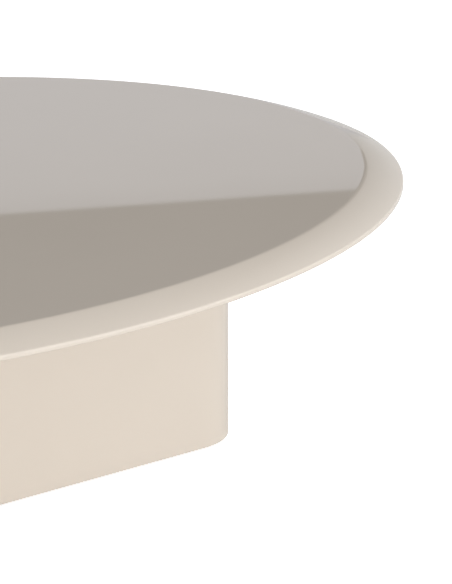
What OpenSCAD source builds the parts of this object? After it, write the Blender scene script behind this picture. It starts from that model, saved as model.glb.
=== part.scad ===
// Oval coffee table: a bevelled lacquered top on a hollow plinth with rounded corners.
// The floor is z = 0, X runs along the table, Y across it, and -Y is the front.

/* [Top] */
// Length of the oval top
top_l = 1400; // [1250:1:1600]
// Width of the oval top
top_w = 1050; // [900:1:1200]
// Thickness of the top board
top_t = 20; // [19:0.5:26]
// Height of the table's upper face above the floor
table_h = 300; // [280:1:420]
// Thickness of the rim that the bevel leaves
rim_t = 5.5; // [5:0.5:8]
// Width of the bevel at the two ends of the oval
bevel_w = 45; // [30:1:70]
// Height of the bevel's crown over a straight slope
bevel_crown = 0.8; // [0:0.1:1.5]
// Radius of the rim's upper edge
rim_upper_r = 2.5; // [1:0.1:3]
// Radius of the rim's lower edge
rim_lower_r = 1.5; // [0.5:0.1:2]

/* [Plinth] */
// Length of the plinth
plinth_l = 880; // [800:1:1000]
// Width of the plinth
plinth_w = 424; // [380:1:500]
// Outer radius of the plinth's upright corners
corner_r = 70; // [60:1:90]
// Thickness of the plinth's walls
wall = 18; // [16:0.5:20]
// Gap between the plinth's lower edge and the floor
floor_gap = 3; // [2:0.5:4]
// Thickness of the fixing board that closes the plinth under the top
board_t = 18; // [16:0.5:22]
// Thickness of the two cross ribs
rib_t = 18; // [16:0.5:22]
// Distance of each cross rib from the middle of the plinth
rib_x = 120; // [100:1:150]
// Gap all round the inner boards where they fit in the plinth
board_fit = 0.2; // [0.1:0.1:0.5]

/* [Battens and rails] */
// Side of the square battens under the fixing board
batten_s = 25; // [22:1:30]
// Thickness of the rails along the plinth's lower edge
rail_t = 22; // [20:1:26]
// Height of the rails along the plinth's lower edge
rail_h = 45; // [36:1:60]
// Height of the rails and blocks above the plinth's lower edge
rail_lift = 6; // [5:0.5:8]
// Gap round the battens and rails in the notches of the ribs
notch_gap = 0.3; // [0.1:0.1:1]
// Side of the blocks that hold the levelling glides
block_s = 80; // [74:1:90]
// Height of the blocks that hold the levelling glides
block_h = 60; // [52:1:80]

/* [Joints and fixings] */
// Thickness of the loose tongues between walls and corners
tongue_t = 6; // [4:0.5:8]
// Width of the loose tongues
tongue_w = 20; // [16:1:24]
// Distance of the tongues from the upper and lower edge of the plinth
tongue_stop = 18; // [12:1:30]
// Diameter of the dowels between ribs and walls
dowel_d = 8; // [6:1:10]
// Depth of the dowels in the ribs
dowel_in_rib = 20; // [16:1:26]
// Depth of the dowels in the walls
dowel_in_wall = 10; // [8:0.5:12]
// Glue gap round dowels and tongues
glue_gap = 0.1; // [0.05:0.05:0.2]
// Diameter of the wood screws
screw_d = 4; // [3.5:0.5:5]
// Length of the wood screws
screw_l = 34; // [32:1:38]
// Diameter of the wood screws' heads
screw_head_d = 8; // [7:0.5:9]
// Gap round screws, inserts and tee nuts in their holes
screw_gap = 0.05; // [0.02:0.01:0.1]
// Diameter of the bolts that hold the top
bolt_d = 6; // [5:0.5:8]
// Width across the flats of the bolt heads
bolt_head_w = 10; // [9:0.5:13]
// Height of the bolt heads
bolt_head_h = 4; // [3:0.5:6]
// Length of bolt inside the threaded inserts
bolt_grip = 10; // [8:0.5:12]
// Gap round the bolts in the fixing board
bolt_gap = 0.3; // [0.2:0.1:0.6]
// Distance of the outer bolts from the ends of the fixing board
bolt_end = 75; // [60:1:110]
// Distance of the bolts from the sides of the fixing board
bolt_side = 60; // [50:1:90]
// Outer diameter of the washers
washer_d = 18; // [16:0.5:20]
// Thickness of the washers
washer_t = 1.6; // [1:0.1:2.5]
// Outer diameter of the threaded inserts
insert_d = 10; // [9.5:0.5:12]
// Length of the threaded inserts
insert_l = 13; // [12:0.5:15]

/* [Levelling glides] */
// Diameter of the nylon pads
pad_d = 30; // [24:1:34]
// Thickness of the nylon pads
pad_t = 4.8; // [4:0.1:5.5]
// Chamfer round the underside of the pads
pad_chamfer = 1; // [0.5:0.1:1.5]
// Diameter of the stem's foot inside the pad
stem_foot_d = 16; // [14:1:20]
// Depth of the stem's foot inside the pad
stem_foot_h = 3; // [2:0.1:3.5]
// Diameter of the threaded stem
stem_d = 8; // [6:0.5:8]
// Length of the threaded stem above its collar
stem_l = 38; // [30:1:44]
// Width across the flats of the collar
collar_w = 13; // [11:0.5:14]
// Outer diameter of the tee nut's barrel
nut_d = 10.5; // [10:0.5:12]
// Length of the tee nut's barrel
nut_l = 9; // [8:0.5:14]
// Diameter of the tee nut's flange
nut_flange_d = 22; // [18:1:26]
// Thickness of the tee nut's flange
nut_flange_t = 1.5; // [1:0.1:2]
// Radial gap between the stem and the tee nut
stem_gap = 0.06; // [0.02:0.01:0.1]
// Gap between the collar and the tee nut with the glide screwed right in
seat_gap = 0.2; // [0.1:0.05:0.3]
// Distance of the glides from the plinth's inner faces
glide_inset = 42; // [38:1:48]

/* [Hidden] */

lacquer = "#e6dccf";
raw_board = "#b0906a";
softwood = "#d9bd8d";
zinc = "#b4b8bc";
nylon = "#ecebe6";

// Heights of the plinth's pieces above the floor
plinth_top = table_h - top_t;
wall_h = plinth_top - floor_gap;
board_z = plinth_top - board_t;
batten_z = board_z - batten_s;
rail_z = floor_gap + rail_lift;
rail_top = rail_z + rail_h;

// Plan of the plinth
inner_l = plinth_l - 2 * wall;
inner_w = plinth_w - 2 * wall;
inner_r = corner_r - wall;
flat_l = plinth_l - 2 * corner_r;
flat_w = plinth_w - 2 * corner_r;
long_rail_l = inner_l - 2 * block_s;
short_rail_l = inner_w - 2 * block_s;

// Height of the loose tongues
tongue_h = wall_h - 2 * tongue_stop;

// Glide heights, from the pad up to the end of the stem
collar_top = rail_z - nut_flange_t - seat_gap;
stem_bore_h = collar_top + stem_l + 3 - rail_z;

// Bolt positions under the top, the same four columns on both sides
bolt_x = [inner_l / 2 - bolt_end, rib_x / 2];
bolt_y = inner_w / 2 - bolt_side;

small = 0.01;

// Places along a batten or rail of half length h, on both sides of the ribs
function screw_marks(h) = [
    for (side = [-1, 1])
    for (p = [rib_x / 2, rib_x + (h - rib_x) / 4, rib_x + (h - rib_x) * 3 / 4]) side * p
];

// Places of the screws that go up into the fixing board
function board_marks(h) = [-(rib_x + h) / 2, 0, (rib_x + h) / 2];

// Heights of the dowels between a rail and a batten
function dowel_heights() = [
    for (i = [0:2]) rail_top + (batten_z - rail_top) * (i + 0.5) / 3
];

// Point on the line from a through b, a height h beyond b
function beyond(a, b, h) = b + (b - a) * h / abs(b[1] - a[1]);

// Half section of the oval top at its longest radius, from the axis out. It runs
// past the board's two faces, where the flat board cuts it off.
function top_profile() =
    let (
        r = top_l / 2,
        over = 1,
        slope = atan2(top_t - rim_t, bevel_w - rim_upper_r),
        bow = atan(4 * bevel_crown / bevel_w),
        nose_end = 90 - slope - bow,
        nose_x = r - rim_upper_r,
        nose_z = rim_t - rim_upper_r * sin(nose_end),
        crease = [r - bevel_w, top_t],
        foot = [nose_x + rim_upper_r * cos(nose_end), rim_t],
        lower_steps = 4,
        nose_steps = 5,
        bevel_steps = 8,
        lower = [for (i = [0:lower_steps])
            let (a = -90 + 90 * i / lower_steps)
            [r - rim_lower_r + rim_lower_r * cos(a), rim_lower_r + rim_lower_r * sin(a)]],
        nose = [for (i = [0:nose_steps])
            let (a = nose_end * i / nose_steps)
            [nose_x + rim_upper_r * cos(a), nose_z + rim_upper_r * sin(a)]],
        bevel = [for (i = [1:bevel_steps - 1])
            let (t = i / bevel_steps, rise = 4 * bevel_crown * t * (1 - t))
            foot + t * (crease - foot) + rise * [sin(slope), cos(slope)]]
    )
    concat(
        [[0, -over], beyond(lower[1], lower[0], over)],
        [for (i = [1:lower_steps]) lower[i]],
        nose,
        bevel,
        [beyond(bevel[bevel_steps - 2], crease, over), [0, top_t + over]]
    );

// Puts a copy of its children at each bolt that holds the top
module at_bolts() {
    for (sx = [-1, 1], sy = [-1, 1], x = bolt_x)
        translate([sx * x, sy * bolt_y, 0]) children();
}

// Puts its children at one glide; sx and sy are the signs of its corner
module at_glide(sx, sy) {
    translate([sx * (inner_l / 2 - glide_inset), sy * (inner_w / 2 - glide_inset), 0])
        children();
}

module at_all_glides() {
    for (sx = [-1, 1], sy = [-1, 1]) at_glide(sx, sy) children();
}

// Rectangle with round corners
module round_rect(l, w, r) {
    square([l - 2 * r, w], center = true);
    square([l, w - 2 * r], center = true);
    for (sx = [-1, 1], sy = [-1, 1])
        translate([sx * (l / 2 - r), sy * (w / 2 - r)]) circle(r = r, $fn = 96);
}

// Countersunk screw along +Y, with its head at y = 0
module screw(gap = 0) {
    head_h = (screw_head_d - screw_d) / 2;
    tip_h = screw_d;
    rotate([-90, 0, 0]) rotate_extrude($fn = 32) polygon([
        [0, -gap],
        [screw_head_d / 2 + gap, -gap],
        [screw_head_d / 2 + gap, 0],
        [screw_d / 2 + gap, head_h],
        [screw_d / 2 + gap, screw_l - tip_h],
        [0.2 + gap, screw_l + gap],
        [0, screw_l + gap]
    ]);
}

// Screws or their holes through the front (-1) or rear (1) battens into the walls
module long_side_screws(sy, half, depth, z, gap = 0) {
    for (x = screw_marks(half))
        translate([x, sy * (inner_w / 2 - depth), z]) rotate([0, 0, sy > 0 ? 0 : 180])
            screw(gap);
}

// Screws or their holes through the left (-1) or right (1) battens into the walls
module short_side_screws(sx, half, depth, z, gap = 0) {
    for (y = [-half / 2, half / 2])
        translate([sx * (inner_l / 2 - depth), y, z]) rotate([0, 0, sx > 0 ? -90 : 90])
            screw(gap);
}

module batten_screw_set(gap = 0) {
    z = batten_z + batten_s / 2;
    for (s = [-1, 1]) {
        long_side_screws(s, flat_l / 2, batten_s, z, gap);
        short_side_screws(s, flat_w / 2, batten_s, z, gap);
    }
}

module rail_screw_set(gap = 0) {
    z = rail_z + rail_h / 2;
    for (s = [-1, 1]) {
        long_side_screws(s, long_rail_l / 2, rail_t, z, gap);
        short_side_screws(s, short_rail_l / 2, rail_t, z, gap);
    }
}

// Screws or their holes that go up through the battens into the fixing board
module board_screw_set(gap = 0) {
    for (s = [-1, 1]) {
        for (x = board_marks(flat_l / 2))
            translate([x, s * (inner_w / 2 - batten_s / 2), batten_z])
                rotate([90, 0, 0]) screw(gap);
        translate([s * (inner_l / 2 - batten_s / 2), 0, batten_z])
            rotate([90, 0, 0]) screw(gap);
    }
}

// Tongues or their grooves, two at each corner of the plinth
module tongue_set(gap = 0) {
    t = tongue_t + 2 * gap;
    w = tongue_w + 2 * gap;
    h = tongue_h + 2 * gap;
    z = floor_gap + wall_h / 2;
    for (sx = [-1, 1], sy = [-1, 1]) {
        translate([sx * flat_l / 2, sy * (plinth_w - wall) / 2, z])
            cube([w, t, h], center = true);
        translate([sx * (plinth_l - wall) / 2, sy * flat_w / 2, z])
            cube([t, w, h], center = true);
    }
}

// Dowels or their holes between the ribs and the front and rear walls
module dowel_set(gap = 0) {
    l = dowel_in_rib + dowel_in_wall + 2 * gap;
    middle = inner_w / 2 + (dowel_in_wall - dowel_in_rib) / 2;
    for (sx = [-1, 1], sy = [-1, 1], z = dowel_heights())
        translate([sx * rib_x, sy * middle, z]) rotate([90, 0, 0])
            cylinder(d = dowel_d + 2 * gap, h = l, center = true, $fn = 40);
}

module table_top() {
    color(lacquer) difference() {
        translate([0, 0, plinth_top]) intersection() {
            scale([1, top_w / top_l, 1]) rotate_extrude($fn = 180) polygon(top_profile());
            translate([-top_l / 2 - 1, -top_w / 2 - 1, 0]) cube([top_l + 2, top_w + 2, top_t]);
        }
        at_bolts() translate([0, 0, plinth_top - 1])
            cylinder(d = insert_d + 2 * screw_gap, h = insert_l + 1.5, $fn = 48);
    }
}

// Front (-1) or rear (1) wall of the plinth
module long_wall(sy) {
    color(lacquer) difference() {
        translate([-flat_l / 2, sy * (plinth_w - wall) / 2 - wall / 2, floor_gap])
            cube([flat_l, wall, wall_h]);
        tongue_set(glue_gap);
        dowel_set(glue_gap);
        batten_screw_set(screw_gap);
        rail_screw_set(screw_gap);
    }
}

// Left (-1) or right (1) wall of the plinth
module short_wall(sx) {
    color(lacquer) difference() {
        translate([sx * (plinth_l - wall) / 2 - wall / 2, -flat_w / 2, floor_gap])
            cube([wall, flat_w, wall_h]);
        tongue_set(glue_gap);
        batten_screw_set(screw_gap);
        rail_screw_set(screw_gap);
    }
}

// Bent quarter-round corner of the plinth
module corner(sx, sy) {
    turn = sx > 0 ? (sy > 0 ? 0 : -90) : (sy > 0 ? 90 : 180);
    color(lacquer) difference() {
        translate([sx * flat_l / 2, sy * flat_w / 2, floor_gap]) rotate([0, 0, turn])
            rotate_extrude(angle = 90, $fn = 96)
            translate([inner_r, 0]) square([wall, wall_h]);
        tongue_set(glue_gap);
    }
}

module corner_tongues() {
    color(raw_board) tongue_set();
}

module fixing_board() {
    color(raw_board) difference() {
        translate([0, 0, board_z]) linear_extrude(board_t)
            round_rect(inner_l - 2 * board_fit, inner_w - 2 * board_fit, inner_r - board_fit);
        at_bolts() translate([0, 0, board_z - 1])
            cylinder(d = bolt_d + 2 * bolt_gap, h = board_t + 2, $fn = 40);
        board_screw_set(screw_gap);
    }
}

// Front (-1) or rear (1) batten under the fixing board
module long_batten(sy) {
    color(softwood) difference() {
        translate([-flat_l / 2, sy * (inner_w - batten_s) / 2 - batten_s / 2, batten_z])
            cube([flat_l, batten_s, batten_s]);
        batten_screw_set(screw_gap);
        board_screw_set(screw_gap);
    }
}

// Left (-1) or right (1) batten under the fixing board
module short_batten(sx) {
    color(softwood) difference() {
        translate([sx * (inner_l - batten_s) / 2 - batten_s / 2, -flat_w / 2, batten_z])
            cube([batten_s, flat_w, batten_s]);
        batten_screw_set(screw_gap);
        board_screw_set(screw_gap);
    }
}

// Front (-1) or rear (1) rail along the plinth's lower edge
module long_rail(sy) {
    color(softwood) difference() {
        translate([-long_rail_l / 2, sy * (inner_w - rail_t) / 2 - rail_t / 2, rail_z])
            cube([long_rail_l, rail_t, rail_h]);
        rail_screw_set(screw_gap);
    }
}

// Left (-1) or right (1) rail along the plinth's lower edge
module short_rail(sx) {
    color(softwood) difference() {
        translate([sx * (inner_l - rail_t) / 2 - rail_t / 2, -short_rail_l / 2, rail_z])
            cube([rail_t, short_rail_l, rail_h]);
        rail_screw_set(screw_gap);
    }
}

// Rib across the plinth, notched over the battens and the rails
module cross_rib(sx) {
    rail_notch = rail_t + notch_gap;
    batten_notch = batten_s + notch_gap;
    color(raw_board) difference() {
        translate([sx * rib_x - rib_t / 2, -inner_w / 2, rail_z])
            cube([rib_t, inner_w, board_z - rail_z]);
        for (sy = [-1, 1]) {
            translate([sx * rib_x, sy * (inner_w - rail_notch) / 2, rail_z])
                cube([rib_t + 2, rail_notch + small, 2 * (rail_h + notch_gap)], center = true);
            translate([sx * rib_x, sy * (inner_w - batten_notch) / 2, board_z])
                cube([rib_t + 2, batten_notch + small, 2 * batten_notch], center = true);
        }
        dowel_set(glue_gap);
    }
}

module rib_dowels() {
    color(softwood) dowel_set();
}

// Block in a corner of the plinth, rounded to fit behind the bent corner
module foot_block(sx, sy) {
    color(softwood) difference() {
        translate([0, 0, rail_z]) linear_extrude(block_h) intersection() {
            round_rect(inner_l - 2 * board_fit, inner_w - 2 * board_fit, inner_r - board_fit);
            translate([sx * (inner_l - block_s) / 2, sy * (inner_w - block_s) / 2])
                square(block_s, center = true);
        }
        at_glide(sx, sy) {
            translate([0, 0, rail_z - 1])
                cylinder(d = nut_d + 2 * screw_gap, h = nut_l + 1.5, $fn = 48);
            translate([0, 0, rail_z])
                cylinder(d = stem_d + 1, h = stem_bore_h, $fn = 48);
        }
    }
}

module threaded_inserts() {
    color(zinc) at_bolts() translate([0, 0, plinth_top]) difference() {
        cylinder(d = insert_d, h = insert_l, $fn = 48);
        translate([0, 0, -1])
            cylinder(d = bolt_d + 2 * screw_gap, h = insert_l, $fn = 40);
    }
}

module top_bolts() {
    color(zinc) at_bolts() {
        translate([0, 0, board_z - washer_t - bolt_head_h])
            cylinder(d = bolt_head_w / cos(30), h = bolt_head_h, $fn = 6);
        translate([0, 0, board_z - washer_t])
            cylinder(d = bolt_d, h = washer_t + board_t + bolt_grip, $fn = 40);
    }
}

module bolt_washers() {
    color(zinc) at_bolts() translate([0, 0, board_z - washer_t]) difference() {
        cylinder(d = washer_d, h = washer_t, $fn = 48);
        translate([0, 0, -1]) cylinder(d = bolt_d + 2 * bolt_gap, h = washer_t + 2, $fn = 40);
    }
}

module batten_screws() {
    color(zinc) batten_screw_set();
}

module board_screws() {
    color(zinc) board_screw_set();
}

module rail_screws() {
    color(zinc) rail_screw_set();
}

// Tee nuts, with their flanges on the underside of the foot blocks
module tee_nuts() {
    color(zinc) at_all_glides() difference() {
        union() {
            translate([0, 0, rail_z - nut_flange_t])
                cylinder(d = nut_flange_d, h = nut_flange_t, $fn = 48);
            translate([0, 0, rail_z - nut_flange_t])
                cylinder(d = nut_d, h = nut_flange_t + nut_l, $fn = 48);
        }
        translate([0, 0, rail_z - nut_flange_t - 1])
            cylinder(d = stem_d + 2 * stem_gap, h = nut_flange_t + nut_l + 2, $fn = 48);
    }
}

// Threaded stem of a glide, with its foot in the pad and a collar for a spanner
module glide_stem(sx, sy) {
    tip = 1;
    color(zinc) at_glide(sx, sy) {
        translate([0, 0, pad_t - stem_foot_h])
            cylinder(d = stem_foot_d, h = stem_foot_h, $fn = 48);
        translate([0, 0, pad_t])
            cylinder(d = collar_w / cos(30), h = collar_top - pad_t, $fn = 6);
        translate([0, 0, collar_top])
            cylinder(d = stem_d, h = stem_l - tip, $fn = 48);
        translate([0, 0, collar_top + stem_l - tip])
            cylinder(d1 = stem_d, d2 = stem_d - 2 * tip, h = tip, $fn = 48);
    }
}

// Nylon pad of a glide, with a pocket for the stem's foot
module glide_pad(sx, sy) {
    color(nylon) at_glide(sx, sy) difference() {
        union() {
            cylinder(d1 = pad_d - 2 * pad_chamfer, d2 = pad_d, h = pad_chamfer, $fn = 64);
            translate([0, 0, pad_chamfer])
                cylinder(d = pad_d, h = pad_t - pad_chamfer, $fn = 64);
        }
        translate([0, 0, pad_t - stem_foot_h])
            cylinder(d = stem_foot_d + 2 * screw_gap, h = stem_foot_h + 1, $fn = 48);
    }
}

table_top();
long_wall(-1);  // front_wall
long_wall(1);  // rear_wall
short_wall(-1);  // left_wall
short_wall(1);  // right_wall
corner(-1, -1);  // front_left_corner
corner(1, -1);  // front_right_corner
corner(-1, 1);  // rear_left_corner
corner(1, 1);  // rear_right_corner
corner_tongues();
fixing_board();
long_batten(-1);  // front_top_batten
long_batten(1);  // rear_top_batten
short_batten(-1);  // left_top_batten
short_batten(1);  // right_top_batten
long_rail(-1);  // front_bottom_rail
long_rail(1);  // rear_bottom_rail
short_rail(-1);  // left_bottom_rail
short_rail(1);  // right_bottom_rail
cross_rib(-1);  // left_cross_rib
cross_rib(1);  // right_cross_rib
rib_dowels();
foot_block(-1, -1);  // front_left_foot_block
foot_block(1, -1);  // front_right_foot_block
foot_block(-1, 1);  // rear_left_foot_block
foot_block(1, 1);  // rear_right_foot_block
threaded_inserts();
top_bolts();
bolt_washers();
batten_screws();
board_screws();
rail_screws();
tee_nuts();
glide_stem(-1, -1);  // front_left_glide_stem
glide_stem(1, -1);  // front_right_glide_stem
glide_stem(-1, 1);  // rear_left_glide_stem
glide_stem(1, 1);  // rear_right_glide_stem
glide_pad(-1, -1);  // front_left_glide_pad
glide_pad(1, -1);  // front_right_glide_pad
glide_pad(-1, 1);  // rear_left_glide_pad
glide_pad(1, 1);  // rear_right_glide_pad
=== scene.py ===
import math

import bmesh
import bpy
from mathutils import Matrix, Vector


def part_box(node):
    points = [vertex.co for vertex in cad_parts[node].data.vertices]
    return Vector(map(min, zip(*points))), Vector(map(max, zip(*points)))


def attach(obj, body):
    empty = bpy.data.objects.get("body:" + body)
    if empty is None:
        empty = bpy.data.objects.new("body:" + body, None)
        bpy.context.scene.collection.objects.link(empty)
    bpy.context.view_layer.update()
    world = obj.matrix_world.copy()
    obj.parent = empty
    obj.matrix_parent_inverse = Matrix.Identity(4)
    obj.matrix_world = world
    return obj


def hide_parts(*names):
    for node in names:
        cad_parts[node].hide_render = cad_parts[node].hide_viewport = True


bl_info = {
    "name": "Oval coffee table",
    "version": (1, 0, 0),
    "blender": (4, 5, 0),
    "location": "3D View > Sidebar > Coffee table",
    "description": "Lacquered oval top, round-cornered plinth, levelling glides and a pale studio",
    "category": "Add Mesh",
}

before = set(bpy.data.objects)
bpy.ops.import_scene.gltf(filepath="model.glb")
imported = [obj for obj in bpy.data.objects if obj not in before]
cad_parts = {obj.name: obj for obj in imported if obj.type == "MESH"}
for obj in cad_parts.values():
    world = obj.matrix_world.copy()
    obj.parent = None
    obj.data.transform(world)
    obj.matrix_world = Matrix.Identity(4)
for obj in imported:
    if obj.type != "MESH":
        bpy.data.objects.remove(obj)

# The body that carries everything but the glides, and the signs of X and Y at its ends and long sides.
TABLE = "table"
ENDS = {"left": -1, "right": 1}
SIDES = {"front": -1, "rear": 1}

# Points closer than this become one.
MERGE = 1e-7
# Heights closer than this count as the same.
SAME_HEIGHT = 1e-5
# A bend sharper than this keeps a crisp edge.
CRISP = math.radians(30)

# Facets round the oval, across the parts of its profile, and round an insert's hole.
OVAL_FACETS = 360
LOWER_RIM_FACETS = 6
UPPER_RIM_FACETS = 14
BEVEL_FACETS = 18
CREASE_FACETS = 10
HOLE_FACETS = 24
# Facets round a corner of the plinth and across its eased edge.
CORNER_FACETS = 48
EASED_FACETS = 5
# Facets round a pad and its upper edge, round a stem's foot and core, and in each turn of its thread.
PAD_FACETS = 64
PAD_EDGE_FACETS = 4
FOOT_FACETS = 48
CORE_FACETS = 32
THREAD_FACETS = 24
# Facets round the floor.
FLOOR_FACETS = 96

# All the light comes from far away. Bearings are in degrees clockwise from +Y, as seen from above, and
# heights in degrees above the horizon.
FULL_TURN = 360
ZENITH = 90
# A light that reaches all the way up fades out past the zenith.
NO_FADE = (90, 91)

# Soft lights round the table. A light comes up over the bearings of "starts", which lean to the right by
# "lean" degrees for each degree of height, and goes down over those of "ends" and the heights of "fades".
LIGHTS = {
    "side window": {"glow": 0.78, "starts": (39, 50), "lean": 0.6, "ends": (72, 90), "fades": (30, 60)},
    "front softbox": {"glow": 0.91, "starts": (72, 90), "lean": 0.0, "ends": (225, 290), "fades": NO_FADE},
    "low front strip": {"glow": 3.5, "starts": (96, 122), "lean": 0.0, "ends": (225, 290), "fades": (0, 15)},
}
# The rest of the room is dark. The ceiling takes over between its starting height and the zenith.
DARK_ROOM = 0.05
CEILING_GLOW = 1.6
CEILING_START = 60

# The light grey wall behind the table: two points of its straight upper edge and two of its leaning right
# end, each a bearing and a height.
WALL_TOP = ((42.0, 15.07), (0.0, 14.31))
WALL_END = ((43.2, 14.5), (50.5, 5.0))
WALL_GLOW = (0.63, 0.64, 0.69)
# Half of the blur across these two edges, as the sine of an angle.
TOP_BLUR = 0.0007
END_BLUR = 0.004
# The wall gets darker towards its upper edge: sine of the angle above that edge, and share of the glow.
WALL_DEEP = (-0.030, 1.02)
WALL_NEAR = (-0.006, 0.93)
WALL_EDGE = (0.0, 0.78)
# It also gets darker towards its right end: bearing, and share of the glow.
WALL_FULL = (42.6, 1.0)
WALL_DIM = (46.5, 0.7)
# Bearings over which it comes up at the left and ends for good at the right.
WALL_STARTS = (-60.0, -20.0)
WALL_STOPS = (45.9, 46.9)


# Sizes and colours

def linear(hex_colour):
    """Turns an sRGB hex colour into linear red, green and blue."""
    parts = [int(hex_colour[i:i + 2], 16) / 255 for i in (0, 2, 4)]
    return tuple(s / 12.92 if s <= 0.04045 else ((s + 0.055) / 1.055) ** 2.4 for s in parts)


def size(name, description, default):
    return bpy.props.FloatProperty(name=name, description=description, default=default, min=0.0,
                                   precision=5, unit="LENGTH", subtype="DISTANCE")


def colour(name, description, hex_colour):
    return bpy.props.FloatVectorProperty(name=name, description=description, default=linear(hex_colour),
                                         size=3, min=0.0, max=1.0, subtype="COLOR")


class TopSizes(bpy.types.PropertyGroup):
    """Sizes of the oval top."""
    length: size("Length", "Length of the oval", 1.400)
    width: size("Width", "Width of the oval", 1.050)
    thickness: size("Thickness", "Thickness of the board", 0.020)
    surface_height: size("Surface height", "Height of the upper face above the floor", 0.300)
    rim: size("Rim", "Thickness that the bevel leaves at the rim", 0.0055)
    bevel: size("Bevel", "Width of the bevel at the ends of the oval", 0.045)
    crown: size("Crown", "Height of the bevel's crown over a straight slope", 0.0008)
    rim_upper_radius: size("Upper rim radius", "Radius of the rim's upper edge", 0.0025)
    rim_lower_radius: size("Lower rim radius", "Radius of the rim's lower edge", 0.0015)
    crease: size("Crease", "Reach of the rounding on each side of the crease between field and bevel", 0.0030)
    insert_hole: size("Insert hole", "Diameter of the holes for the threaded inserts", 0.0101)
    insert_depth: size("Insert depth", "Depth of the holes for the threaded inserts", 0.0135)


class PlinthSizes(bpy.types.PropertyGroup):
    """Sizes of the plinth."""
    length: size("Length", "Length of the plinth", 0.880)
    width: size("Width", "Width of the plinth", 0.424)
    corner_radius: size("Corner radius", "Outer radius of the upright corners", 0.070)
    wall: size("Wall", "Thickness of the walls", 0.018)
    lower_edge: size("Lower edge", "Height of the lower edge above the floor", 0.003)
    upper_edge: size("Upper edge", "Height of the upper edge above the floor", 0.280)
    eased: size("Eased edge", "Radius sanded on the lower outer edge", 0.0012)


class GlideSizes(bpy.types.PropertyGroup):
    """Sizes of the levelling glides."""
    pad: size("Pad", "Diameter of the nylon pads", 0.030)
    pad_thickness: size("Pad thickness", "Thickness of the pads", 0.0048)
    pad_chamfer: size("Pad chamfer", "Chamfer round the underside of the pads", 0.001)
    stem: size("Stem", "Outer diameter of the threaded stem", 0.008)
    stem_length: size("Stem length", "Length of the stem above its collar", 0.038)
    stem_foot: size("Stem foot", "Diameter of the stem's foot in the pad", 0.016)
    stem_foot_depth: size("Foot depth", "Depth of the stem's foot in the pad", 0.003)
    collar: size("Collar", "Width across the flats of the collar", 0.013)
    collar_top: size("Collar top", "Height of the collar's upper face above the floor", 0.0073)
    thread_pitch: size("Thread pitch", "Pitch of the stem's thread", 0.00125)


class Finishes(bpy.types.PropertyGroup):
    """Colours of the finishes."""
    lacquer: colour("Lacquer", "Cream high-gloss lacquer", "DDD3C7")
    board: colour("Raw board", "Sanded fibreboard", "B0906A")
    pine: colour("Pine", "Planed pine", "D9BD8D")
    beech: colour("Beech", "Sanded beech", "CDAE89")
    zinc: colour("Zinc", "Zinc plate", "B4B8BC")
    nylon: colour("Nylon", "Natural nylon", "ECEBE6")


class Studio(bpy.types.PropertyGroup):
    """Floor, light and camera."""
    floor_radius: size("Floor radius", "Radius of the floor", 9.0)
    floor_glow: bpy.props.FloatProperty(
        name="Floor glow", description="Glow of the floor that the camera sees", default=0.85, min=0.0)
    floor_light: bpy.props.FloatProperty(
        name="Floor light", description="Glow of the floor that lights the table", default=0.21, min=0.0)
    camera_place: bpy.props.FloatVectorProperty(
        name="Camera place", description="Place of the camera", size=3,
        default=(-1.71855, -2.76862, 1.18140), unit="LENGTH", subtype="TRANSLATION")
    camera_heading: bpy.props.FloatProperty(
        name="Heading", description="Direction of the camera, from +Y towards +X",
        default=math.radians(39.8884), subtype="ANGLE")
    camera_dip: bpy.props.FloatProperty(
        name="Dip", description="Angle of the camera below the horizon",
        default=math.radians(16.8745), subtype="ANGLE")
    camera_lens: bpy.props.FloatProperty(
        name="Lens", description="Focal length for the camera's frame height", default=199.928, unit="CAMERA")
    frame_height: bpy.props.FloatProperty(
        name="Frame height", description="Height of the camera's frame", default=36.0, unit="CAMERA")
    camera_shift: bpy.props.FloatVectorProperty(
        name="Shift", description="Shift of the frame to the right and up, in frame heights", size=2,
        default=(-0.02268, -0.00136), precision=5)
    camera_range: bpy.props.FloatVectorProperty(
        name="Range", description="Nearest and farthest distance that the camera sees", size=2,
        default=(0.05, 60.0), min=0.001, unit="LENGTH")


GROUPS = {"table_top_sizes": TopSizes, "table_plinth_sizes": PlinthSizes, "table_glide_sizes": GlideSizes,
          "table_finishes": Finishes, "table_studio": Studio}


# Finishes

def add_node(tree, kind, inputs=None, **settings):
    """Adds a node with its settings; an input takes a value or another node's output."""
    node = tree.nodes.new(kind)
    for key, value in settings.items():
        setattr(node, key, value)
    for key, value in (inputs or {}).items():
        if isinstance(value, bpy.types.NodeSocket):
            tree.links.new(value, node.inputs[key])
        else:
            node.inputs[key].default_value = value
    return node


def start_material(name, **constants):
    """Makes a material with one shader: returns it, its tree, the shader and the object coordinates."""
    material = bpy.data.materials.new(name)
    material.use_nodes = True
    tree = material.node_tree
    tree.nodes.clear()
    shader = add_node(tree, "ShaderNodeBsdfPrincipled", constants)
    add_node(tree, "ShaderNodeOutputMaterial", {"Surface": shader.outputs["BSDF"]})
    place = add_node(tree, "ShaderNodeTexCoord").outputs["Object"]
    return material, tree, shader, place


def mottle(tree, place, dark, light, scale, stretch=(1, 1, 1), detail=4.0, low=0.35, high=0.65):
    """Mixes two close colours by noise; scale is in cycles per metre."""
    mapped = add_node(tree, "ShaderNodeMapping", {"Vector": place, "Scale": stretch})
    noise = add_node(tree, "ShaderNodeTexNoise",
                     {"Vector": mapped.outputs["Vector"], "Scale": scale, "Detail": detail})
    spread = add_node(tree, "ShaderNodeMapRange",
                      {"Value": noise.outputs["Fac"], "From Min": low, "From Max": high})
    mix = add_node(tree, "ShaderNodeMix",
                   {"Factor": spread.outputs["Result"], "A": (*dark, 1), "B": (*light, 1)}, data_type="RGBA")
    return mix.outputs["Result"]


def shade(rgb, factor):
    """Makes a colour darker or lighter."""
    return tuple(min(1.0, c * factor) for c in rgb)


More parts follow.
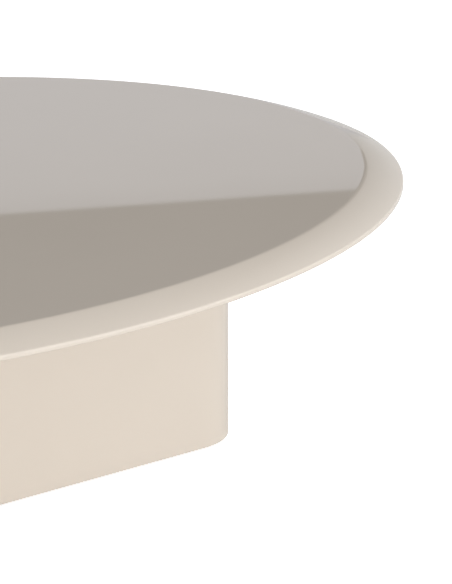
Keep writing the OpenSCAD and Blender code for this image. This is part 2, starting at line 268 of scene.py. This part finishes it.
def tint(rgb, factors):
    """Scales red, green and blue each by its own factor."""
    return tuple(c * f for c, f in zip(rgb, factors))


def polyurethane_lacquer_on_fibreboard(finishes):
    """Sprayed and polished lacquer: a deep, even cream with sharp reflections."""
    material, tree, shader, place = start_material("polyurethane_lacquer_on_fibreboard", IOR=1.5)
    cream = tuple(finishes.lacquer)
    tone = mottle(tree, place, shade(cream, 0.992), shade(cream, 1.004), 6.0, detail=2.0)
    tree.links.new(tone, shader.inputs["Base Color"])
    # Polishing leaves faint hazy patches some 60 mm across.
    haze = add_node(tree, "ShaderNodeTexNoise", {"Vector": place, "Scale": 16.0, "Detail": 3.0})
    gloss = add_node(tree, "ShaderNodeMapRange",
                     {"Value": haze.outputs["Fac"], "From Min": 0.3, "From Max": 0.7, "To Min": 0.009,
                      "To Max": 0.015})
    tree.links.new(gloss.outputs["Result"], shader.inputs["Roughness"])
    # Orange peel: waves about 3 mm long and under a micrometre high.
    peel = add_node(tree, "ShaderNodeTexNoise", {"Vector": place, "Scale": 330.0, "Detail": 1.0})
    bump = add_node(tree, "ShaderNodeBump",
                    {"Height": peel.outputs["Fac"], "Strength": 1.0, "Distance": 0.0000008})
    tree.links.new(bump.outputs["Normal"], shader.inputs["Normal"])
    return material


def sanded_fibreboard(finishes):
    """Raw board: pressed fibres give a matt brown with fine flecks about 1 mm across."""
    material, tree, shader, place = start_material("sanded_fibreboard", IOR=1.5, Roughness=0.85)
    brown = tuple(finishes.board)
    tone = mottle(tree, place, shade(brown, 0.80), shade(brown, 1.12), 900.0, detail=6.0)
    tree.links.new(tone, shader.inputs["Base Color"])
    fibres = add_node(tree, "ShaderNodeTexNoise", {"Vector": place, "Scale": 1600.0, "Detail": 3.0})
    bump = add_node(tree, "ShaderNodeBump",
                    {"Height": fibres.outputs["Fac"], "Strength": 0.6, "Distance": 0.00008})
    tree.links.new(bump.outputs["Normal"], shader.inputs["Normal"])
    return material


def planed_pine(finishes, name, grain):
    """Planed pine: growth rings about 4 mm apart and flecks 1 mm wide; grain is the axis of the fibres."""
    material, tree, shader, place = start_material(name, IOR=1.5, Roughness=0.6)
    pale = tuple(finishes.pine)
    # The rings follow wide waves, stretched along the grain, and darken slowly towards a sharp end.
    along_grain = 0.06
    rings_per_wave = 34.0
    late_wood = 2.2
    stretch = {"x": (along_grain, 1, 1), "y": (1, along_grain, 1), "z": (1, 1, along_grain)}[grain]
    mapped = add_node(tree, "ShaderNodeMapping", {"Vector": place, "Scale": stretch})
    waves = add_node(tree, "ShaderNodeTexNoise",
                     {"Vector": mapped.outputs["Vector"], "Scale": 14.0, "Detail": 3.0})
    rings = add_node(tree, "ShaderNodeMath", {0: waves.outputs["Fac"], 1: rings_per_wave},
                     operation="MULTIPLY")
    saw = add_node(tree, "ShaderNodeMath", {0: rings.outputs["Value"]}, operation="FRACT")
    late = add_node(tree, "ShaderNodeMath", {0: saw.outputs["Value"], 1: late_wood}, operation="POWER")
    early_tone = (*shade(pale, 1.06), 1)
    late_tone = (*tint(pale, (0.80, 0.66, 0.50)), 1)
    mix = add_node(tree, "ShaderNodeMix",
                   {"Factor": late.outputs["Value"], "A": early_tone, "B": late_tone}, data_type="RGBA")
    fine = add_node(tree, "ShaderNodeTexNoise",
                    {"Vector": mapped.outputs["Vector"], "Scale": 900.0, "Detail": 3.0})
    flecks = add_node(tree, "ShaderNodeMapRange",
                      {"Value": fine.outputs["Fac"], "From Min": 0.3, "From Max": 0.7, "To Min": 0.86,
                       "To Max": 1.0})
    tinted = add_node(tree, "ShaderNodeMix",
                      {"Factor": 1.0, "A": mix.outputs["Result"], "B": flecks.outputs["Result"]},
                      data_type="RGBA", blend_type="MULTIPLY")
    tree.links.new(tinted.outputs["Result"], shader.inputs["Base Color"])
    bump = add_node(tree, "ShaderNodeBump",
                    {"Height": fine.outputs["Fac"], "Strength": 0.4, "Distance": 0.00006})
    tree.links.new(bump.outputs["Normal"], shader.inputs["Normal"])
    return material


def sanded_beech(finishes):
    """Beech: close and even, with darker flecks about 1.5 mm wide and 10 mm long."""
    material, tree, shader, place = start_material("sanded_beech", IOR=1.5, Roughness=0.55)
    pink = tuple(finishes.beech)
    tone = mottle(tree, place, shade(pink, 0.72), shade(pink, 1.05), 700.0, stretch=(1, 1, 0.15), low=0.42,
                  high=0.6)
    tree.links.new(tone, shader.inputs["Base Color"])
    return material


def bright_zinc_plate(finishes):
    """Zinc-plated steel: a bluish grey metal with a soft sheen, clouded in patches of 2 to 6 mm."""
    material, tree, shader, place = start_material("bright_zinc_plate", Metallic=1.0)
    zinc = tuple(finishes.zinc)
    warm = tint(zinc, (1.05, 1.0, 0.93))
    tone = mottle(tree, place, shade(zinc, 0.9), warm, 160.0, detail=3.0)
    tree.links.new(tone, shader.inputs["Base Color"])
    cloud = add_node(tree, "ShaderNodeTexNoise", {"Vector": place, "Scale": 400.0, "Detail": 4.0})
    gloss = add_node(tree, "ShaderNodeMapRange",
                     {"Value": cloud.outputs["Fac"], "To Min": 0.22, "To Max": 0.42})
    tree.links.new(gloss.outputs["Result"], shader.inputs["Roughness"])
    return material


def moulded_nylon(finishes):
    """Natural nylon: a milky white with a soft sheen and a moulded grain of 0.4 mm."""
    constants = {"IOR": 1.53, "Roughness": 0.45, "Subsurface Weight": 0.15, "Subsurface Scale": 0.002}
    material, tree, shader, place = start_material("moulded_nylon", **constants)
    milk = tuple(finishes.nylon)
    tone = mottle(tree, place, shade(milk, 0.95), milk, 120.0)
    tree.links.new(tone, shader.inputs["Base Color"])
    grain = add_node(tree, "ShaderNodeTexNoise", {"Vector": place, "Scale": 2500.0, "Detail": 2.0})
    bump = add_node(tree, "ShaderNodeBump",
                    {"Height": grain.outputs["Fac"], "Strength": 0.3, "Distance": 0.00003})
    tree.links.new(bump.outputs["Normal"], shader.inputs["Normal"])
    return material


def backlit_acrylic(studio):
    """Floor of opal acrylic: white and almost shadowless to the camera, a pale grey to the table."""
    constants = {"Roughness": 0.6, "Base Color": (0.7, 0.7, 0.7, 1), "Emission Color": (1, 1, 1, 1)}
    material, tree, shader, _ = start_material("backlit_acrylic", **constants)
    seen = add_node(tree, "ShaderNodeLightPath").outputs["Is Camera Ray"]
    glow = add_node(tree, "ShaderNodeMapRange",
                    {"Value": seen, "To Min": studio.floor_light, "To Max": studio.floor_glow})
    tree.links.new(glow.outputs["Result"], shader.inputs["Emission Strength"])
    return material


MAKERS = {
    "lacquer": polyurethane_lacquer_on_fibreboard,
    "board": sanded_fibreboard,
    "pine_along_x": lambda finishes: planed_pine(finishes, "planed_pine_along_x", "x"),
    "pine_along_y": lambda finishes: planed_pine(finishes, "planed_pine_along_y", "y"),
    "pine_upright": lambda finishes: planed_pine(finishes, "planed_pine_upright", "z"),
    "beech": sanded_beech,
    "zinc": bright_zinc_plate,
    "nylon": moulded_nylon,
}
made = {}


def finish_named(scene, key):
    """The finish of that name, made once."""
    if key not in made:
        made[key] = MAKERS[key](scene.table_finishes)
    return made[key]


def dress(scene, finish, *nodes):
    """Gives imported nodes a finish."""
    for name in nodes:
        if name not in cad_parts:
            raise RuntimeError(f"the packed table has no node named {name}")
        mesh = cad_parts[name].data
        mesh.materials.clear()
        mesh.materials.append(finish_named(scene, finish))


# Shaping and placing pieces

def place_piece(scene, bm, name, body, finishes, replaced):
    """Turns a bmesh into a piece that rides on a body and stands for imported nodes."""
    bmesh.ops.remove_doubles(bm, verts=bm.verts, dist=MERGE)
    bmesh.ops.recalc_face_normals(bm, faces=bm.faces)
    loose = [e for e in bm.edges if len(e.link_faces) != 2]
    if loose:
        raise RuntimeError(f"{name} has {len(loose)} open edges")
    for face in bm.faces:
        face.smooth = True
    for edge in bm.edges:
        if edge.calc_face_angle() > CRISP:
            edge.smooth = False
    mesh = bpy.data.meshes.new(name)
    bm.to_mesh(mesh)
    bm.free()
    for finish in finishes:
        mesh.materials.append(finish_named(scene, finish))
    piece = bpy.data.objects.new(name, mesh)
    scene.collection.objects.link(piece)
    # The large flat faces keep their own direction right up to the rounded edges beside them.
    even = piece.modifiers.new("even_shading", "WEIGHTED_NORMAL")
    even.keep_sharp = True
    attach(piece, body)
    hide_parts(*replaced)


def only(kind, geometry):
    """The vertices, edges or faces among what a bmesh operator made."""
    return [part for part in geometry if isinstance(part, kind)]


def turn(bm, outline, facets):
    """Turns an outline in the XZ plane round the Z axis."""
    verts = [bm.verts.new((x, 0.0, z)) for x, z in outline]
    edges = [bm.edges.new(pair) for pair in zip(verts, verts[1:])]
    bmesh.ops.spin(bm, geom=verts + edges, cent=(0, 0, 0), axis=(0, 0, 1), angle=2 * math.pi, steps=facets,
                   use_merge=True)
    bmesh.ops.remove_doubles(bm, verts=bm.verts, dist=MERGE)


def close_ends(bm):
    """Closes what a swept section leaves open at its two ends."""
    bmesh.ops.holes_fill(bm, edges=[e for e in bm.edges if e.is_boundary], sides=0)


def arc(centre, radius, start, end, facets):
    """Points of an arc in a profile, angles in radians from +X."""
    angles = [start + (end - start) * i / facets for i in range(facets + 1)]
    return [(centre[0] + radius * math.cos(a), centre[1] + radius * math.sin(a)) for a in angles]


def insert_places():
    """Plan places of the eight inserts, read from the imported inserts."""
    # Points this close to each other belong to one insert.
    reach = 0.03
    inserts = []
    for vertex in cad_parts["threaded_inserts"].data.vertices:
        point = (vertex.co.x, vertex.co.y)
        near = [insert for insert in inserts if math.dist(point, insert[0]) < reach]
        if near:
            near[0].append(point)
        else:
            inserts.append([point])
    return [tuple((min(values) + max(values)) / 2 for values in zip(*insert)) for insert in inserts]


class TABLE_OT_lacquered_top(bpy.types.Operator):
    """Model the oval top with its crowned bevel and rounded rim"""
    bl_idname = "table.lacquered_top"
    bl_label = "Lacquered top"

    def execute(self, context):
        s = context.scene.table_top_sizes
        under = s.surface_height - s.thickness
        bm = bmesh.new()
        turn(bm, self.profile(s, under), OVAL_FACETS)
        field = [e for e in bm.edges if e.is_boundary and all(v.co.z > under + s.rim for v in e.verts)]
        bmesh.ops.holes_fill(bm, edges=field, sides=0)
        bmesh.ops.scale(bm, vec=(1, s.width / s.length, 1), verts=bm.verts)
        self.underside(bm, s, under)
        place_piece(context.scene, bm, "lacquered_top", TABLE, ["lacquer", "board"],
                    ["table_top"])
        return {"FINISHED"}

    @staticmethod
    def profile(s, under):
        """Half of the top's section, from the underside round the rim and up the bevel to the flat field."""
        radius = s.length / 2
        slope = math.atan2(s.thickness - s.rim, s.bevel - s.rim_upper_radius)
        # The crown makes the bevel steeper at its foot, and the rim's upper arc ends in line with it.
        bow = math.atan(4 * s.crown / s.bevel)
        nose_end = math.pi / 2 - slope - bow
        nose = (radius - s.rim_upper_radius, under + s.rim - s.rim_upper_radius * math.sin(nose_end))
        lower = arc((radius - s.rim_lower_radius, under + s.rim_lower_radius), s.rim_lower_radius,
                    -math.pi / 2, 0, LOWER_RIM_FACETS)
        upper = arc(nose, s.rim_upper_radius, 0, nose_end, UPPER_RIM_FACETS)
        foot = (nose[0] + s.rim_upper_radius * math.cos(nose_end), under + s.rim)
        crease = (radius - s.bevel, s.surface_height)

        def on_bevel(t):
            """A point of the bevel, which rises over its straight slope as a parabola."""
            rise = 4 * s.crown * t * (1 - t)
            return (foot[0] + t * (crease[0] - foot[0]) + rise * math.sin(slope),
                    foot[1] + t * (crease[1] - foot[1]) + rise * math.cos(slope))

        # The bevel runs into the flat field through a long, soft rounding.
        start = 1 - s.crease / math.dist(foot, crease)
        bevel = [on_bevel(start * i / BEVEL_FACETS) for i in range(1, BEVEL_FACETS + 1)]
        field = (crease[0] - s.crease, s.surface_height)
        for i in range(1, CREASE_FACETS + 1):
            t = i / CREASE_FACETS
            bevel.append(tuple((1 - t) ** 2 * a + 2 * t * (1 - t) * b + t * t * c
                               for a, b, c in zip(on_bevel(start), crease, field)))
        return lower + upper + bevel

    @staticmethod
    def underside(bm, s, under):
        """Closes the underside with one flat face that has the eight holes for the threaded inserts."""
        rims = [e for e in bm.edges if e.is_boundary]
        radius = s.insert_hole / 2
        places = insert_places()
        holes = []
        for x, y in places:
            circle = bmesh.ops.create_circle(bm, cap_ends=False, radius=radius, segments=HOLE_FACETS,
                                             matrix=Matrix.Translation((x, y, under)))
            ring = {e for v in circle["verts"] for e in v.link_edges}
            rims += list(ring)
            holes.append(list(ring))
        bmesh.ops.triangle_fill(bm, edges=rims, use_beauty=True, normal=(0, 0, -1))
        for ring in holes:
            inside = [f for f in bm.faces if all(e in ring for e in f.edges)]
            bmesh.ops.delete(bm, geom=inside, context="FACES_ONLY")
            raised = bmesh.ops.extrude_edge_only(bm, edges=ring)["geom"]
            bmesh.ops.translate(bm, vec=(0, 0, s.insert_depth), verts=only(bmesh.types.BMVert, raised))
            bmesh.ops.holes_fill(bm, edges=only(bmesh.types.BMEdge, raised), sides=0)
        # Only the holes are raw board.
        for face in bm.faces:
            x, y, z = face.calc_center_median()
            at_hole = any(math.dist((x, y), place) < 2 * radius for place in places)
            in_hole = at_hole and under + SAME_HEIGHT < z < under + s.insert_depth + SAME_HEIGHT
            face.material_index = 1 if in_hole else 0


class TABLE_OT_plinth_walls(bpy.types.Operator):
    """Model the four flat walls and the four bent corners of the plinth"""
    bl_idname = "table.plinth_walls"
    bl_label = "Plinth walls"

    def execute(self, context):
        scene = context.scene
        s = scene.table_plinth_sizes
        # A wall's section: distance outwards from its outer face, and height.
        section = [(-s.wall, s.upper_edge), (0.0, s.upper_edge)]
        section += arc((-s.eased, s.lower_edge + s.eased), s.eased, 0, -math.pi / 2, EASED_FACETS)
        section += [(-s.wall, s.lower_edge)]
        half_length, half_width = s.length / 2, s.width / 2
        corner_x, corner_y = half_length - s.corner_radius, half_width - s.corner_radius
        for name, along, outward in (("front", (1, 0), (0, -1)), ("rear", (-1, 0), (0, 1))):
            self.flat_wall(scene, s, section, name, along, outward, corner_x, half_width)
        for name, along, outward in (("left", (0, -1), (-1, 0)), ("right", (0, 1), (1, 0))):
            self.flat_wall(scene, s, section, name, along, outward, corner_y, half_length)
        for side, y_sign in SIDES.items():
            for end, x_sign in ENDS.items():
                centre = (x_sign * corner_x, y_sign * corner_y)
                self.bent_corner(scene, s, section, f"{side}_{end}", centre, x_sign, y_sign)
        return {"FINISHED"}

    def flat_wall(self, scene, s, section, name, along, outward, half, face_at):
        """A flat wall: its section, drawn out from one end to the other."""
        bm = bmesh.new()
        verts = [bm.verts.new((outward[0] * (face_at + d) - along[0] * half,
                               outward[1] * (face_at + d) - along[1] * half, z)) for d, z in section]
        end = bm.faces.new(verts)
        pushed = bmesh.ops.extrude_face_region(bm, geom=[end], use_keep_orig=True)["geom"]
        bmesh.ops.translate(bm, vec=(along[0] * 2 * half, along[1] * 2 * half, 0),
                            verts=only(bmesh.types.BMVert, pushed))
        self.coat(bm, lambda p: (p.x * outward[0] + p.y * outward[1]) - face_at, s)
        place_piece(scene, bm, name + "_wall_lacquered", TABLE, ["lacquer", "board"],
                    [name + "_wall"])

    def bent_corner(self, scene, s, section, name, centre, x_sign, y_sign):
        """A quarter-round corner: the same section, turned round the corner's centre."""
        bm = bmesh.new()
        verts = [bm.verts.new((centre[0] + x_sign * (s.corner_radius + d), centre[1], z)) for d, z in section]
        profile = bm.faces.new(verts)
        bmesh.ops.spin(bm, geom=[profile, *profile.edges, *profile.verts], cent=(*centre, 0), axis=(0, 0, 1),
                       angle=x_sign * y_sign * math.pi / 2, steps=CORNER_FACETS, use_merge=False)
        close_ends(bm)
        self.coat(bm, lambda p: math.hypot(p.x - centre[0], p.y - centre[1]) - s.corner_radius, s)
        place_piece(scene, bm, name + "_corner_lacquered", TABLE, ["lacquer", "board"],
                    [name + "_corner"])

    @staticmethod
    def coat(bm, depth, s):
        """The outer face and its eased edge carry lacquer; the inside, the ends and edges are raw board."""
        hair = 1e-6
        deepest = -s.eased - hair
        for face in bm.faces:
            face.material_index = 0 if all(depth(v.co) > deepest for v in face.verts) else 1


class TABLE_OT_inner_frame(bpy.types.Operator):
    """Finish the boards, battens, rails, ribs and blocks inside the plinth"""
    bl_idname = "table.inner_frame"
    bl_label = "Inner frame"

    def execute(self, context):
        scene = context.scene
        dress(scene, "board", "fixing_board", "left_cross_rib", "right_cross_rib")
        for side in SIDES:
            dress(scene, "pine_along_x", side + "_top_batten", side + "_bottom_rail")
            dress(scene, "pine_upright", *(f"{side}_{end}_foot_block" for end in ENDS))
        for end in ENDS:
            dress(scene, "pine_along_y", end + "_top_batten", end + "_bottom_rail")
        dress(scene, "beech", "corner_tongues", "rib_dowels")
        return {"FINISHED"}


class TABLE_OT_fixings(bpy.types.Operator):
    """Finish the inserts, bolts, washers, screws and tee nuts"""
    bl_idname = "table.fixings"
    bl_label = "Fixings"

    def execute(self, context):
        dress(context.scene, "zinc", "threaded_inserts", "top_bolts", "bolt_washers", "batten_screws",
              "board_screws", "rail_screws", "tee_nuts")
        return {"FINISHED"}


class TABLE_OT_levelling_glides(bpy.types.Operator):
    """Model the threaded stems and the moulded pads of the four levelling glides"""
    bl_idname = "table.levelling_glides"
    bl_label = "Levelling glides"

    def execute(self, context):
        scene = context.scene
        s = scene.table_glide_sizes
        for side in SIDES:
            for end in ENDS:
                glide = f"{side}_{end}_glide"
                low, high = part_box(glide + "_pad")
                middle = ((low.x + high.x) / 2, (low.y + high.y) / 2, 0)
                self.pad(scene, s, glide, middle)
                self.stem(scene, s, glide, middle)
        return {"FINISHED"}

    @staticmethod
    def pad(scene, s, glide, middle):
        """A pad with a chamfered foot, a ring groove, a gate mark and a pocket for the stem."""
        radius = s.pad / 2
        top = s.pad_thickness
        # The gate mark and the groove are dents in the underside, with sloping sides.
        dent = 0.0003
        side = 0.0004
        gate = 0.0016
        groove_in, groove_out = 0.0085, 0.0103
        outline = [(0, dent), (gate - side, dent), (gate, 0), (groove_in, 0), (groove_in + side, dent),
                   (groove_out - side, dent), (groove_out, 0), (radius - s.pad_chamfer, 0),
                   (radius, s.pad_chamfer)]
        edge = 0.0005
        outline += arc((radius - edge, top - edge), edge, 0, math.pi / 2, PAD_EDGE_FACETS)
        # The pocket has a little play round the stem's foot and a broken edge.
        play = 0.00005
        pocket = s.stem_foot / 2 + play
        broken = 0.0004
        floor = top - s.stem_foot_depth
        outline += [(pocket + broken, top), (pocket, top - broken), (pocket, floor), (0, floor)]
        bm = bmesh.new()
        turn(bm, outline, PAD_FACETS)
        bmesh.ops.translate(bm, vec=middle, verts=bm.verts)
        place_piece(scene, bm, glide + "_pad_moulded", glide, ["nylon"], [glide + "_pad"])

    @staticmethod
    def stem(scene, s, glide, middle):
        """A stem with its foot in the pad, a hexagonal collar and a rolled thread."""
        pad_top = s.pad_thickness
        collar_top = s.collar_top
        tip = collar_top + s.stem_length
        # Depth of a metric thread, in pitches.
        thread_depth = 0.61
        crest = s.stem / 2
        root = crest - thread_depth * s.thread_pitch
        bm = bmesh.new()
        foot = s.stem_foot / 2
        under = pad_top - s.stem_foot_depth
        turn(bm, [(0, under), (foot, under), (foot, pad_top), (0, pad_top)], FOOT_FACETS)
        # The core starts inside the collar and has a chamfered tip.
        sunk = 0.0005
        start = collar_top - sunk
        chamfer = 0.0006
        turn(bm, [(0, start), (root, start), (root, tip - chamfer), (root - chamfer, tip), (0, tip)],
             CORE_FACETS)
        half_side = math.pi / 6
        to_corner = s.collar / 2 / math.cos(half_side)
        centre = Matrix.Translation((0, 0, (collar_top + pad_top) / 2))
        collar = bmesh.ops.create_cone(bm, cap_ends=True, segments=6, radius1=to_corner, radius2=to_corner,
                                       depth=collar_top - pad_top,
                                       matrix=centre @ Matrix.Rotation(half_side, 4, "Z"))
        edges = list({e for v in collar["verts"] for e in v.link_edges})
        broken = 0.0003
        bmesh.ops.bevel(bm, geom=edges, offset=broken, segments=2, profile=0.5, affect="EDGES", material=-1)
        # Section of the thread's ridge: distance from the middle, and height in pitches.
        pitch = s.thread_pitch
        overlap = 0.0002
        inside = root - overlap
        section = ((inside, 0.02), (crest, 0.40), (crest, 0.58), (inside, 0.98))
        ridge = [bm.verts.new((radius, 0, collar_top + height * pitch)) for radius, height in section]
        tooth = bm.faces.new(ridge)
        turns = (s.stem_length - 2 * chamfer - pitch) / pitch
        bmesh.ops.spin(bm, geom=[*ridge, *tooth.edges, tooth], cent=(0, 0, 0), axis=(0, 0, 1),
                       dvec=(0, 0, pitch / THREAD_FACETS), angle=2 * math.pi * turns,
                       steps=round(THREAD_FACETS * turns), use_merge=False)
        close_ends(bm)
        bmesh.ops.translate(bm, vec=middle, verts=bm.verts)
        place_piece(scene, bm, glide + "_stem_threaded", glide, ["zinc"],
                    [glide + "_stem"])


# Floor, light and camera

def direction(bearing, height):
    """Unit vector at a bearing and a height in degrees."""
    bearing, height = math.radians(bearing), math.radians(height)
    level = math.cos(height)
    return Vector((math.sin(bearing) * level, math.cos(bearing) * level, math.sin(height)))


def plane_through(first, second):
    """Normal of the plane through the table's middle and two far points, each a bearing and a height."""
    return direction(*first).cross(direction(*second)).normalized()


class TABLE_OT_studio(bpy.types.Operator):
    """Set up the pale floor, the soft light and the camera"""
    bl_idname = "table.studio"
    bl_label = "Studio"

    def execute(self, context):
        scene = context.scene
        s = scene.table_studio
        bm = bmesh.new()
        bmesh.ops.create_circle(bm, cap_ends=True, radius=s.floor_radius, segments=FLOOR_FACETS)
        mesh = bpy.data.meshes.new("floor")
        bm.to_mesh(mesh)
        bm.free()
        mesh.materials.append(backlit_acrylic(s))
        floor = bpy.data.objects.new("floor", mesh)
        scene.collection.objects.link(floor)
        self.surroundings(scene)
        camera = bpy.data.cameras.new("camera")
        camera.lens = s.camera_lens
        camera.sensor_fit = "AUTO"
        camera.sensor_width = s.frame_height
        camera.shift_x, camera.shift_y = s.camera_shift
        camera.clip_start, camera.clip_end = s.camera_range
        stand = bpy.data.objects.new("camera", camera)
        stand.location = s.camera_place
        stand.rotation_euler = (math.pi / 2 - s.camera_dip, 0, -s.camera_heading)
        scene.collection.objects.link(stand)
        scene.camera = stand
        scene.view_settings.view_transform = "Standard"
        return {"FINISHED"}

    @staticmethod
    def surroundings(scene):
        """Light from all round: soft lights at the right and in front, the ceiling and the wall behind."""
        world = bpy.data.worlds.new("studio")
        world.use_nodes = True
        tree = world.node_tree
        tree.nodes.clear()
        way = add_node(tree, "ShaderNodeTexCoord").outputs["Generated"]
        parts = add_node(tree, "ShaderNodeSeparateXYZ", {"Vector": way}).outputs

        def number(operation, *values):
            return add_node(tree, "ShaderNodeMath", dict(enumerate(values)),
                            operation=operation).outputs["Value"]

        def fade(value, start, end):
            """Rises evenly from 0 at the start to 1 at the end."""
            return add_node(tree, "ShaderNodeMapRange",
                            {"Value": value, "From Min": start, "From Max": end}).outputs["Result"]

        def soft_fade(value, start, end):
            """Rises from 0 to 1 with a soft start and end."""
            return add_node(tree, "ShaderNodeMapRange", {"Value": value, "From Min": start, "From Max": end},
                            interpolation_type="SMOOTHSTEP").outputs["Result"]

        def grade(value, first, last, clamp=True):
            """Runs evenly between two pairs of value and result."""
            return add_node(tree, "ShaderNodeMapRange",
                            {"Value": value, "From Min": first[0], "From Max": last[0], "To Min": first[1],
                             "To Max": last[1]}, clamp=clamp).outputs["Result"]

        def above(plane):
            """Sine of the angle between the way that light comes from and a plane."""
            return add_node(tree, "ShaderNodeVectorMath", {0: way, 1: plane},
                            operation="DOT_PRODUCT").outputs["Value"]

        degrees = 180 / math.pi
        compass = number("MULTIPLY", number("ARCTAN2", parts["X"], parts["Y"]), degrees)
        bearing = number("WRAP", compass, 0.0, FULL_TURN)
        height = number("MULTIPLY", number("ARCSINE", parts["Z"]), degrees)
        light = DARK_ROOM
        for lamp in LIGHTS.values():
            dark, bright = lamp["starts"]
            last, out = lamp["ends"]
            full, gone = lamp["fades"]
            along = number("MULTIPLY_ADD", height, -lamp["lean"], bearing)
            width = number("MULTIPLY", fade(along, dark, bright), fade(bearing, out, last))
            shape = number("MULTIPLY", width, fade(height, gone, full))
            light = number("MULTIPLY_ADD", shape, lamp["glow"], light)
        room = number("MULTIPLY", light, fade(height, ZENITH, CEILING_START))
        ceiling = number("MULTIPLY", fade(height, CEILING_START, ZENITH), CEILING_GLOW)
        light = number("ADD", room, ceiling)

        # The wall lies below the plane of its upper edge and to the left of the plane of its leaning end.
        over_top = above(plane_through(*WALL_TOP))
        slowly = grade(over_top, WALL_NEAR, WALL_DEEP)
        quickly = grade(over_top, WALL_EDGE, WALL_NEAR, clamp=False)
        faded = number("MINIMUM", slowly, quickly)
        up_to_top = number("MULTIPLY", soft_fade(over_top, TOP_BLUR, -TOP_BLUR), faded)
        before_end = soft_fade(above(plane_through(*WALL_END)), -END_BLUR, END_BLUR)
        from_left = soft_fade(compass, WALL_STARTS[0], WALL_STARTS[1])
        to_right = soft_fade(compass, WALL_STOPS[1], WALL_STOPS[0])
        sideways = number("MULTIPLY", before_end, number("MULTIPLY", from_left, to_right))
        wall = number("MULTIPLY", up_to_top, sideways)
        dimmed = grade(compass, WALL_FULL, WALL_DIM)
        tone = add_node(tree, "ShaderNodeVectorMath", {0: WALL_GLOW, "Scale": dimmed}, operation="SCALE")
        light = add_node(tree, "ShaderNodeMix", {"Factor": wall, "A": light, "B": tone.outputs["Vector"]},
                         data_type="RGBA").outputs["Result"]
        glow = add_node(tree, "ShaderNodeBackground", {"Color": light, "Strength": 1.0})
        add_node(tree, "ShaderNodeOutputWorld", {"Surface": glow.outputs["Background"]})
        scene.world = world


OPERATORS = (TABLE_OT_lacquered_top, TABLE_OT_plinth_walls, TABLE_OT_inner_frame, TABLE_OT_fixings,
             TABLE_OT_levelling_glides, TABLE_OT_studio)


class TABLE_PT_coffee_table(bpy.types.Panel):
    """Sizes, colours and pieces of the coffee table"""
    bl_idname = "TABLE_PT_coffee_table"
    bl_label = "Oval coffee table"
    bl_space_type = "VIEW_3D"
    bl_region_type = "UI"
    bl_category = "Coffee table"

    def draw(self, context):
        column = self.layout.column()
        for group in GROUPS:
            settings = getattr(context.scene, group)
            box = column.box()
            box.label(text=settings.bl_rna.description)
            for key in settings.__annotations__:
                box.prop(settings, key)
        for operator in OPERATORS:
            column.operator(operator.bl_idname)


def register():
    for group, kind in GROUPS.items():
        bpy.utils.register_class(kind)
        setattr(bpy.types.Scene, group, bpy.props.PointerProperty(type=kind))
    for kind in (*OPERATORS, TABLE_PT_coffee_table):
        bpy.utils.register_class(kind)


def unregister():
    for kind in reversed((*OPERATORS, TABLE_PT_coffee_table)):
        bpy.utils.unregister_class(kind)
    for group, kind in reversed(list(GROUPS.items())):
        delattr(bpy.types.Scene, group)
        bpy.utils.unregister_class(kind)


def main():
    """Builds every piece and the studio."""
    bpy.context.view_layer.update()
    register()
    for operator in OPERATORS:
        module, name = operator.bl_idname.split(".")
        getattr(getattr(bpy.ops, module), name)()


if __name__ == "__main__":
    main()
